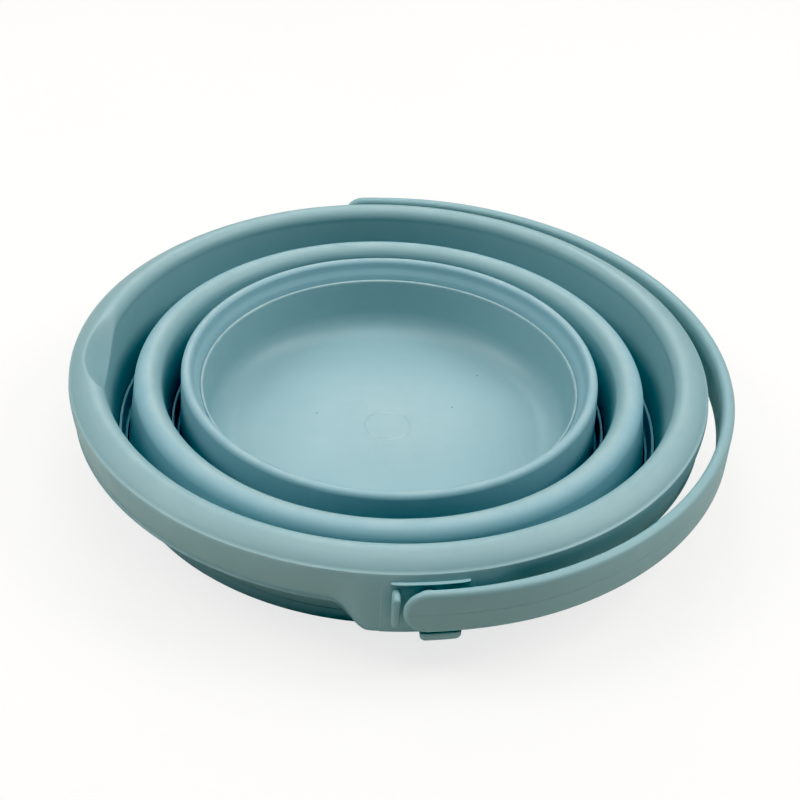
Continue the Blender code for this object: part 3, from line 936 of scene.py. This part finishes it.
@dataclass
class MiddleStage(SubAssembly):
    """The middle band with its bead, and the skin that folds down from its crest."""

    def build(self) -> None:
        """Models and dresses the three pieces of the middle stage."""
        plan = self.plan
        # Painted highlight along the lit top of the middle crest, on band and skin alike.
        crest_highlight = PaintedLightRing(plan.middle_crest[0], plan.ridge_height - plan.middle_drop,
                            width=0.006, amount=0.6)
        band = MouldedFinish(Slot.BAND, rings=(crest_highlight,), smooth_roughness=0.40,
                             dull_roughness=0.54)
        sleeve = SoftFinish(rings=(crest_highlight,))
        self.fit(self.band(), band, "middle_stage", "middle_band")
        self.add_bead("middle_bead", "middle_stage", plan.middle_wall, plan.band_plastic)
        fold = self.turn_fold("outer_fold_skin", plan.rim_wall, plan.middle_crest,
                              plan.middle_roll)
        bend = ("rim", plan.middle_bend, plan.fold_foot_height)
        self.fit(fold, sleeve, "middle_stage", "outer_fold", bend)

    def band(self) -> Piece:
        """Turns the inner half of the middle crest and the wall that hangs from it.

        Returns:
            The band.
        """
        plan = self.plan
        centre, roll, thick = plan.middle_crest, plan.middle_roll, plan.band_plastic
        foot = plan.middle_wall(plan.band_foot)
        outline = arc(centre, roll, 90, 180, 14)
        outline += [(foot, plan.band_foot), (foot + thick, plan.band_foot)]
        outline += arc(centre, roll - thick, 180, 90, 10)
        return self.turn("middle_wall", spaced(outline, self.spacing))


@dataclass
class Rim(SubAssembly):
    """The rigid rim with its pouring lip and two ears, and the bead on its foot."""

    skirt_depth: float = 0.0189
    skirt_draw: float = 0.003
    ridge_round: float = 0.0005
    spout_bearing: float = math.radians(178)
    spout_round: float = 0.0508
    spout_depth: float = 0.0135
    spout_slope: float = 0.857
    ear_half: float = 0.0240
    ear_sweep: float = 0.0165
    ear_drop: float = 0.0117
    ear_swell: float = 0.0022
    ear_swell_sweep: float = 0.018
    ear_swell_rate: float = 10.0
    ear_root: float = 0.0015
    edge_bead: float = 0.0015
    edge_bead_width: float = 0.0009
    ear_bead_loss: float = 0.7
    pad_proud: float = 0.0003
    pad_half: float = 0.0197
    pad_drop: float = 0.0062
    pad_line: float = 0.0003
    ledge_half: float = 0.0168
    ledge_middle: float = 0.0012
    ledge_drop: float = 0.0029
    ledge_thick: float = 0.0006
    ledge_proud: float = 0.0007
    ledge_end: float = 0.0035
    wrap_step: float = 0.0012
    stop_width: float = 0.0036
    stop_middle: float = -0.0134
    stop_drop: float = 0.0062
    stop_height: float = 0.0166
    stop_face: float = 0.1687
    tab_start: float = -0.0036
    tab_length: float = 0.0168
    tab_top: float = 0.0292
    tab_thick: float = 0.0042
    tab_face: float = 0.1717
    top_rows: int = 84
    skirt_rows: int = 14
    edge_rows: int = 8
    face_start: float = 0.1
    edge_start: float = 0.88
    under_drops: Point = (0.0005, 0.0015)
    under_rows: int = 30
    plain_step: float = 1.8
    ear_step: float = 0.6
    spout_step: float = 0.3
    line_step: float = 0.05
    top_end: Point = (-0.0009, 0.0007)
    top_bulge: float = 0.0006
    top_steps: int = 12
    ridge_corner: Point = (0.0001, 0.0003)
    corner_round: float = 0.0005
    ledge_edges: float = 0.00025
    stop_edges: float = 0.0015
    tab_edges: float = 0.0006
    tab_round: float = 0.0026
    crease_rows: tuple[int, int] = (1, 4)
    smoothings: tuple[int, int] = (2, 9)

    def build(self) -> None:
        """Models and dresses the rim, what its ears carry, and its bead."""
        plan = self.plan
        # Painted highlights along the lip's top, the ridge and the skirt's lower edge.
        lip = PaintedLightRing(plan.lip_centre[0], plan.lip_top, width=0.007, amount=0.4)
        ridge = PaintedLightRing(plan.rim_radius, plan.ridge_height, width=0.0016, amount=0.5)
        foot = PaintedLightRing(plan.rim_radius - self.skirt_draw + self.edge_bead,
                          self.skirt_bottom + 0.0004, width=0.0013, amount=0.9)
        plastic = MouldedFinish(Slot.RIM, rings=(lip, ridge, foot))
        self.fit(self.frame(), plastic, "rim", "rim_frame")
        plain = MouldedFinish(Slot.RIM)
        for piece in self.ear_pieces():
            self.fit(piece, plain, "rim")
            self.fit(copy_across(piece, f"far_{piece.name}"), plain, "rim")
        self.add_bead("rim_bead", "rim", plan.rim_wall, plan.rim_plastic)

    @property
    def skirt_bottom(self) -> float:
        """Height of the skirt's plain lower edge."""
        return self.plan.ridge_height - self.skirt_depth

    @property
    def spout_bottom(self) -> float:
        """Height of the lowest point of the pouring lip's scoop."""
        return self.plan.lip_top - self.spout_depth

    def top_line(self) -> list[Point]:
        """Draws the rim's inner wall, rolled lip and sloping top.

        Returns:
            The line, as even points.
        """
        plan = self.plan
        lean = math.degrees(math.atan(plan.wall_draft))
        line = [(plan.rim_wall(plan.band_foot), plan.band_foot)]
        line += arc(plan.lip_centre, plan.lip_roll, 180 + lean, plan.lip_edge_angle, 24)
        edge = line[-1]
        end = (plan.rim_radius + self.top_end[0], plan.ridge_height + self.top_end[1])
        bulge = [(a + b) / 2 + self.top_bulge for a, b in zip(edge, end)]
        for i in range(self.top_steps):
            s = (i + 1) / self.top_steps
            a, b, c = (1 - s) ** 2, 2 * s * (1 - s), s * s
            line.append((a * edge[0] + b * bulge[0] + c * end[0],
                         a * edge[1] + b * bulge[1] + c * end[1]))
        return evenly(line, self.top_rows)

    def spout_reach(self, height: float, bearing: float) -> float:
        """How far out the scoop reaches.

        Args:
            height: Height of the place.
            bearing: Its bearing.

        Returns:
            The radius of the scoop's face there, or zero away from the scoop.
        """
        plan = self.plan
        turn = (bearing - self.spout_bearing + math.pi) % math.tau - math.pi
        if abs(turn) > math.pi / 4 or height < self.spout_bottom:
            return 0.0
        tip = plan.rim_wall(self.spout_bottom)
        middle = tip + self.spout_slope * self.spout_depth - self.spout_round
        radius = tip + self.spout_slope * (height - self.spout_bottom) - middle
        half_chord = radius ** 2 - (middle * math.sin(turn)) ** 2
        return 0.0 if half_chord < 0 else middle * math.cos(turn) + math.sqrt(half_chord)

    def crossing(self, outer: Point, inner: Point, bearing: float) -> Point:
        """Finds where the scoop's face crosses a stretch of a section.

        Args:
            outer: The end outside the scoop.
            inner: The end inside it.
            bearing: Bearing of the section.

        Returns:
            The crossing.
        """
        outer_v, inner_v = Vector(outer), Vector(inner)
        for _ in range(30):
            middle = (outer_v + inner_v) / 2
            if self.spout_reach(middle.y, bearing) > middle.x:
                inner_v = middle
            else:
                outer_v = middle
        return (outer_v.x, outer_v.y)

    def scoop(self, line: list[Point], bearing: float) -> tuple[list[Point], list[int]]:
        """Moves the points of the top line that lie in the scoop onto its face.

        Args:
            line: The plain top line.
            bearing: Bearing of the section.

        Returns:
            The line, and the numbers of its points on the scoop's two edges.
        """
        inside = [i for i, (r, z) in enumerate(line) if self.spout_reach(z, bearing) > r]
        if len(inside) < 2:
            return line, []
        first, last = inside[0], inside[-1]
        low = self.crossing(line[first - 1], line[first], bearing)
        high = self.crossing(line[min(last + 1, len(line) - 1)], line[last], bearing)
        cut = list(line)
        count = last - first
        for i in range(first, last + 1):
            z = low[1] + (high[1] - low[1]) * (i - first) / count
            cut[i] = (max(self.spout_reach(z, bearing), low[0]), z)
        cut[first], cut[last] = low, high
        return cut, [first, last]

    def aside(self, bearing: float) -> float:
        """Distance along the rim from the handle's axis."""
        turn = math.atan2(abs(math.cos(bearing)), abs(math.sin(bearing)))
        return self.plan.rim_radius * turn

    def ear_share(self, bearing: float, sweep: float) -> float:
        """1 on an ear and 0 away from it."""
        return smooth((self.ear_half + sweep - self.aside(bearing)) / sweep)

    def pad(self, bearing: float, height: float) -> float:
        """How far the flat field under the handle's end stands out of the ear's face.

        Args:
            bearing: Bearing of the place.
            height: Its height.

        Returns:
            The distance, which is zero beside the field.
        """
        inside = self.pad_half - self.aside(bearing)
        below = self.plan.ridge_height - self.pad_drop - height
        line = self.pad_line
        return self.pad_proud * smooth(inside / line) * smooth(below / line)

    def skirt_face(self, bearing: float, share: float) -> Point:
        """A point of the skirt's outer face.

        Args:
            bearing: Bearing of the section.
            share: 0 at the ridge and 1 at the lower edge.

        Returns:
            Its radius and height.
        """
        plan = self.plan
        top = plan.ridge_height - self.ridge_round
        height = top - self.skirt_bottom + self.ear_drop * self.ear_share(bearing, self.ear_sweep)
        swell = self.ear_share(bearing, self.ear_swell_sweep)
        plain = plan.rim_radius + self.ridge_round - self.skirt_draw * share ** 2
        eared = plan.rim_radius + self.ear_swell * (1 - math.exp(-self.ear_swell_rate * share))
        down = (1 - share) * height
        edge = self.edge_bead * math.exp(-(down / self.edge_bead_width) ** 2)
        edge = edge * (1 - self.ear_bead_loss * swell) + self.pad(bearing, top - height * share)
        return (plain + (eared - plain) * swell + edge, top - height * share)

    def section(self, bearing: float, top: list[Point]) -> tuple[list[Point], list[int]]:
        """The rim's whole section at a bearing.

        Args:
            bearing: The bearing.
            top: The plain top line.

        Returns:
            Its points, always as many, and the numbers of the points on the scoop's edges.
        """
        plan, turn = self.plan, self.corner_round
        thick = plan.rim_plastic
        line, creases = self.scoop(top, bearing)
        start, edge = self.face_start, self.edge_start
        rows = [start + (edge - start) * i / self.skirt_rows for i in range(self.skirt_rows)]
        rows += [edge + (1 - edge) * i / self.edge_rows for i in range(self.edge_rows + 1)]
        face = [self.skirt_face(bearing, share) for share in rows]
        corner = (plan.rim_radius + self.ridge_corner[0], plan.ridge_height + self.ridge_corner[1])
        ridge = rounded([(*line[-1], 0), (*corner, turn), (*face[0], 0)], False, 5)
        r, z = face[-1]
        bottom = rounded([(*face[-2], 0), (r, z, turn), (r - thick, z, turn),
                          (face[-2][0] - thick, face[-2][1], 0)], False, 5)
        back = [(r - thick, z) for r, z in reversed(face[1:-1])]
        under = [(face[0][0] - thick, face[0][1])]
        for radius, at in ((plan.rim_radius - thick, plan.ridge_height - self.under_drops[0]),
                           (plan.lip_centre[0], plan.lip_top - self.under_drops[1])):
            under.append((max(radius, self.spout_reach(at - thick, bearing) + thick), at - thick))
        middle, low = plan.lip_centre[1], self.spout_bottom - thick
        reach = max(plan.rim_wall(middle), self.spout_reach(middle, bearing))
        under += [(reach + thick, middle - thick), (plan.rim_wall(low) + thick, low),
                  (plan.rim_wall(plan.band_foot) + thick, plan.band_foot)]
        outline = line + ridge[1:-1] + face[:-1] + bottom[1:-1] + back[:-1]
        return outline + evenly(under, self.under_rows), creases

    def frame(self) -> Piece:
        """Turns the plain rim, then shapes each section of it for the scoop and the ears.

        Returns:
            The rim.
        """
        top = self.top_line()
        plain, _ = self.section(0.0, top)
        radius = self.plan.rim_radius
        ear = (self.ear_half + self.ear_swell_sweep) / radius
        pad = (self.pad_half - self.pad_line / 2) / radius
        line = 1.5 * self.pad_line / radius
        lip = self.spout_round / radius
        stops = [(0.0, self.plain_step), (self.spout_bearing - lip, self.spout_step),
                 (self.spout_bearing + lip, self.plain_step), (math.tau, 0.0)]
        for axis in (math.pi / 2, 3 * math.pi / 2):
            stops += [(axis - ear, self.ear_step), (axis - pad - line, self.line_step),
                      (axis - pad + line, self.ear_step), (axis + pad - line, self.line_step),
                      (axis + pad + line, self.ear_step), (axis + ear, self.plain_step)]
        stops.sort()
        item = spin_round(draw("rim_ring", [(r, 0, z) for r, z in plain]), [
            (max(1, round(math.degrees(b - a) / step)), b - a)
            for (a, step), (b, _) in pairwise(stops)])
        self.shape(item, plain, top)
        return item

    def shape(self, item: Piece, plain: list[Point], top: list[Point]) -> None:
        """Moves every point of the plain rim to its place in the shaped section.

        Args:
            item: The plain rim.
            plain: The section that it was turned from.
            top: The plain top line.
        """
        rows: dict[Point, int] = {}
        sections: dict[int, tuple[list[Point], list[int]]] = {}
        creased: tuple[set[int], set[int]] = (set(), set())
        for vertex in item.data.vertices:
            x, y, z = vertex.co
            spot = (round(math.hypot(x, y), 6), round(z, 6))
            if spot not in rows:
                rows[spot] = min(range(len(plain)), key=lambda i: math.dist(plain[i], spot))
            bearing = math.atan2(y, x) % math.tau
            key = round(bearing * 1e4)
            if key not in sections:
                sections[key] = self.section(bearing, top)
            section, creases = sections[key]
            r, z = section[rows[spot]]
            vertex.co = (r * math.cos(bearing), r * math.sin(bearing), z)
            for crease, near, points in zip(creases, self.crease_rows, creased):
                if abs(rows[spot] - crease) <= near:
                    points.add(vertex.index)
        with editing(item):
            for points, repeat in zip(creased, self.smoothings):
                pick(item, "VERT", lambda vertex: vertex.index in points)
                bpy.ops.mesh.vertices_smooth(factor=0.5, repeat=repeat)
            face_out()

    def ear_pieces(self) -> list[Piece]:
        """Models what the near ear carries: ledge, stop and tab.

        Returns:
            The three pieces.
        """
        ridge, half = self.plan.ridge_height, self.stop_width / 2
        face = self.plan.rim_radius + self.ear_swell
        start, end = self.ledge_middle - self.ledge_half, self.ledge_middle + self.ledge_half
        high = ridge - self.ledge_drop
        low = high - self.ledge_thick
        ledge = [(start, low), (end, low), (end, high), (start, high)]
        high = ridge - self.stop_drop
        stop = arc((self.stop_middle, high - half), half, 0, 180, 10)
        stop += arc((self.stop_middle, high - self.stop_height + half), half, 180, 360, 10)
        start, end = self.tab_start, self.tab_start + self.tab_length
        high, low, turn = self.tab_top, self.tab_top - self.tab_thick, self.tab_round
        tab = rounded([(start, high, 0), (start, low, turn), (end, low, turn), (end, high, 0)])
        pieces = []
        for name, outline, front, edges in (
                ("ear_ledge", ledge, face + self.ledge_proud, self.ledge_edges),
                ("ear_stop", stop, self.stop_face, self.stop_edges),
                ("ear_tab", tab, self.tab_face, self.tab_edges)):
            piece = press_out(name, outline, face - self.ear_root, front, edges)
            self.wrap(piece, face)
            pieces.append(piece)
        return pieces

    def wrap(self, item: Piece, face: float) -> None:
        """Cuts a flat piece into short lengths and lays it round the ear.

        Args:
            item: The piece, drawn beside the plane y = 0.
            face: Radius at which its lengths stay true.
        """
        places = [vertex.co.x for vertex in item.data.vertices]
        start, length = min(places), max(places) - min(places)
        count = max(1, math.ceil(length / self.wrap_step))
        with editing(item):
            for i in range(1, count):
                slice_at((start + length * i / count, 0, 0), (1, 0, 0))
        for vertex in item.data.vertices:
            x, y, z = vertex.co
            if item.name == "ear_ledge":
                past = abs(x - self.ledge_middle) - self.ledge_half + self.ledge_end
                short = max(0.0, past) / self.ledge_end
                proud = max(0.0, -y - face) * math.sqrt(max(0.0, 1 - short * short))
                y = max(y, -face) - proud
            turn = x / face
            vertex.co = (-y * math.sin(turn), y * math.cos(turn), z)


@dataclass
class Handle(SubAssembly):
    """The swinging handle: a flat band bent to a half ring, with bosses and split pegs."""

    gap: float = 0.0075
    thick: float = 0.006
    end_thick: float = 0.0048
    taper: float = 0.06
    end_height: float = 0.0224
    middle_height: float = 0.024
    outer_round: float = 0.0024
    inner_round: float = 0.0030
    parting_line: float = 0.00014
    parting_rows: tuple[int, ...] = (-6, -2, 2, 6, 0)
    boss_radius: float = 0.006
    peg_radius: float = 0.0045
    head_radius: float = 0.0055
    head_length: float = 0.0032
    slot: float = 0.0016
    face: float = 0.1625
    face_gap: float = 0.0005
    plastic: float = 0.0032
    neck_gap: float = 0.0006
    boss_root: float = 0.0015
    slit_root: float = 0.001
    tip_round: float = 0.0006
    head_round: float = 0.0003
    neck_round: float = 0.0002
    boss_round: float = 0.0005
    peg_steps: int = 48
    bends: int = 96

    @property
    def paddle(self) -> float:
        """Radius of the band's round ends."""
        return self.end_height / 2

    @property
    def pivot(self) -> float:
        """Height of the axis that the handle swings on."""
        return self.plan.ridge_height - self.paddle

    @property
    def inside(self) -> float:
        """Radius of the band's inner face."""
        return self.plan.rim_radius + self.gap

    @property
    def half_length(self) -> float:
        """Length of the band from its middle to either peg."""
        return (self.inside + self.thick / 2) * math.pi / 2

    def build(self) -> None:
        """Models and dresses the band and its pegs."""
        finish = MouldedFinish(Slot.HANDLE)
        self.fit(self.band(), finish, "handle", "handle")
        peg = self.peg()
        self.fit(peg, finish, "handle")
        self.fit(copy_across(peg, "far_peg"), finish, "handle")

    def band(self) -> Piece:
        """Cuts the band flat, rounds its edges, and bends it.

        Returns:
            The band.
        """
        half, end = self.half_length, self.paddle
        outline = arc((half, 0), end, -90, 90, 24) + arc((-half, 0), end, 90, 270, 24)
        item = draw("handle_band", [(x, 0, z) for x, z in outline])
        with editing(item):
            fill((0, -self.thick, 0))
            for side, width in ((-self.thick, self.outer_round), (0.0, self.inner_round)):
                pick(item, "EDGE", lambda edge: all(
                    abs(v.co.y - side) < NEAR for v in edge.verts))
                bpy.ops.mesh.bevel(offset=width, segments=6)
            for i in range(-self.bends // 2, self.bends // 2 + 1):
                slice_at((2 * half * i / self.bends, 0, 0), (1, 0, 0))
            for row in self.parting_rows:
                slice_at((0, 0, row * self.parting_line), (0, 0, 1))
            close_up()
        for vertex in item.data.vertices:
            vertex.co = self.bent(*vertex.co)
        with editing(item):
            face_out()
        return item

    def bent(self, along: float, out: float, up: float) -> Place:
        """Carries a point of the flat band to its place on the half ring.

        Args:
            along: Distance along the band from its middle.
            out: How far the point lies on the outer side, below zero.
            up: Height over the middle line of the ends.

        Returns:
            The point's place.
        """
        reach = max(self.half_length - abs(along), 0.0)
        thick = self.end_thick + (self.thick - self.end_thick) * smooth(reach / self.taper)
        deep = -out / self.thick
        if abs(up) < self.parting_line and deep > 0.99:
            deep -= self.parting_line / self.thick
        if up < 0:
            grown = (self.middle_height - self.end_height) * smooth(reach / self.half_length)
            up *= 1 + grown / self.paddle
        radius = self.inside + deep * thick
        turn = along / (self.inside + self.thick / 2)
        return (radius * math.cos(turn), radius * math.sin(turn), self.pivot + up)

    def peg(self) -> Piece:
        """Turns the near boss and peg about the handle's axis, and slits the peg.

        Returns:
            The boss and peg, as one piece.
        """
        neck = self.face - self.plastic - self.neck_gap
        tip = neck - self.head_length
        front = self.face + self.face_gap
        root = self.inside + self.boss_root
        peg, boss = self.peg_radius, self.boss_radius
        outline = rounded([(0, tip, 0), (peg, tip, self.tip_round),
                           (self.head_radius, neck, self.head_round), (peg, neck, self.neck_round),
                           (peg, front, self.neck_round), (boss, front, self.boss_round),
                           (boss, root, 0), (0, root, 0)], False)
        item = draw("near_peg", [(0, -out, self.pivot + radius) for radius, out in outline], False)
        spin_round(item, [(self.peg_steps, math.tau)], (0, 0, self.pivot), (0, 1, 0))
        slit = made("slit", bpy.ops.mesh.primitive_cube_add, size=1)
        depth = front - tip
        with editing(slit):
            bpy.ops.transform.resize(value=(self.slot, depth, 4 * self.head_radius))
            bpy.ops.transform.translate(value=(0, self.slit_root - tip - depth / 2, self.pivot))
        cut = item.modifiers.new("slit", "BOOLEAN")
        cut.operation = "DIFFERENCE"
        cut.solver = "EXACT"
        cut.object = slit
        select_only(item)
        bpy.ops.object.modifier_apply(modifier=cut.name)
        bpy.data.objects.remove(slit, do_unlink=True)
        return item


# Studio

@dataclass
class Studio:
    """The pale floor, the soft lights and the camera."""

    floor_size: float = 9.0
    floor_colour: Colour = (0.88, 0.85, 0.79, 1.0)
    floor_shade: Colour = (0.8536, 0.8245, 0.7663, 1.0)
    floor_glow: float = 1.06
    floor_share: float = 0.75
    light_top: float = 1.8
    light_side: float = 1.3435
    light_height: float = 1.3435
    sky: float = 0.15
    sky_seen: float = 1.0
    view_gamma: float = 0.87
    view_black: float = 0.08
    lens: float = 61.875
    camera_rows: tuple[tuple[float, ...], ...] = (
        (0.993656, 0.026796, -0.109222, -0.072342),
        (-0.103808, 0.592124, -0.799133, -0.572649),
        (0.043259, 0.805402, 0.591149, 0.4481),
        (0.0, 0.0, 0.0, 1.0))

    def build(self) -> None:
        """Lays the floor, hangs the lights and sets up the camera."""
        self.lay_floor()
        side, high = self.light_side, self.light_height
        self.soft_box("top_light", (0.0, 0.0, self.light_top), size=1.6, power=11.8)
        self.soft_box("back_light", (0.0, side, high), size=0.9, power=5.2)
        self.soft_box("left_light", (-side, 0.0, high), size=0.9, power=10.8)
        self.soft_box("right_light", (side, 0.0, high), size=0.9, power=12.8)
        self.light_sky()
        self.place_camera()
        view = bpy.context.scene.view_settings
        view.view_transform = "Standard"
        view.gamma = self.view_gamma
        view.use_curve_mapping = True
        view.curve_mapping.black_level = (self.view_black,) * 3

    def lay_floor(self) -> None:
        """Lays a wide floor of pale paper, which glows a little for the camera."""
        floor = made("studio_floor", bpy.ops.mesh.primitive_plane_add, size=self.floor_size)
        with editing(floor):
            bpy.ops.mesh.subdivide(number_cuts=8)
        material = bpy.data.materials.new("floor_paper")
        material.use_nodes = True
        bench = NodeBench(material.node_tree)
        place = bench.add("ShaderNodeTexCoord").outputs["Object"]
        mottle = bench.ramp(bench.noise(place, 3.0), 0.3, 0.7)
        paper = bench.add("ShaderNodeBsdfPrincipled", {
            "Base Color": bench.tint(mottle, self.floor_colour, self.floor_shade),
            "Roughness": 0.85, "Specular IOR Level": 0.2})
        glow = bench.add("ShaderNodeEmission", {"Strength": self.floor_glow})
        seen = bench.add("ShaderNodeLightPath").outputs["Is Camera Ray"]
        both = bench.add("ShaderNodeMixShader", {
            0: bench.times(seen, self.floor_share), 1: paper.outputs[0], 2: glow.outputs[0]})
        bench.add("ShaderNodeOutputMaterial", {"Surface": both.outputs[0]})
        floor.data.materials.append(material)

    def soft_box(self, name: str, place: Place, size: float, power: float) -> None:
        """Hangs a square soft light that looks at the tub.

        Args:
            name: Name of the light.
            place: Where it hangs.
            size: Length of its sides.
            power: Its power in watts.
        """
        light = made(name, bpy.ops.object.light_add, type="AREA", location=place)
        light.data.shape = "SQUARE"
        light.data.size = size
        light.data.energy = power
        light.rotation_euler = Vector(place).to_track_quat("Z", "Y").to_euler()

    def light_sky(self) -> None:
        """Faint light from all round, before a white wall that only the camera sees."""
        world = bpy.data.worlds.new("studio_sky")
        world.use_nodes = True
        bench = NodeBench(world.node_tree)
        seen = bench.add("ShaderNodeLightPath").outputs["Is Camera Ray"]
        strength = bench.ramp(seen, 0.0, 1.0, self.sky, self.sky_seen)
        sky = bench.add("ShaderNodeBackground", {"Color": (1.0, 1.0, 1.0, 1.0),
                                                 "Strength": strength})
        bench.add("ShaderNodeOutputWorld", {"Surface": sky.outputs[0]})
        bpy.context.scene.world = world

    def place_camera(self) -> None:
        """Sets the camera at the angle from which the tub was seen."""
        camera = made("view_camera", bpy.ops.object.camera_add)
        camera.data.lens = self.lens
        camera.matrix_world = Matrix(self.camera_rows)
        bpy.context.scene.camera = camera


def main() -> None:
    """Builds the tub's sub-assemblies in order, then the studio, and logs how many pieces each
    has.
    """
    logging.basicConfig(level=logging.INFO, format="%(name)s: %(message)s")
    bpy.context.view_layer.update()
    plan, effects = RingPlan(), Effects()
    for kind in (Base, MiddleStage, Rim, Handle):
        part = kind(plan, effects)
        part.build()
        LOG.info("%s has %d pieces", kind.__name__, len(part.pieces))
    Studio().build()


if __name__ == "__main__":
    main()
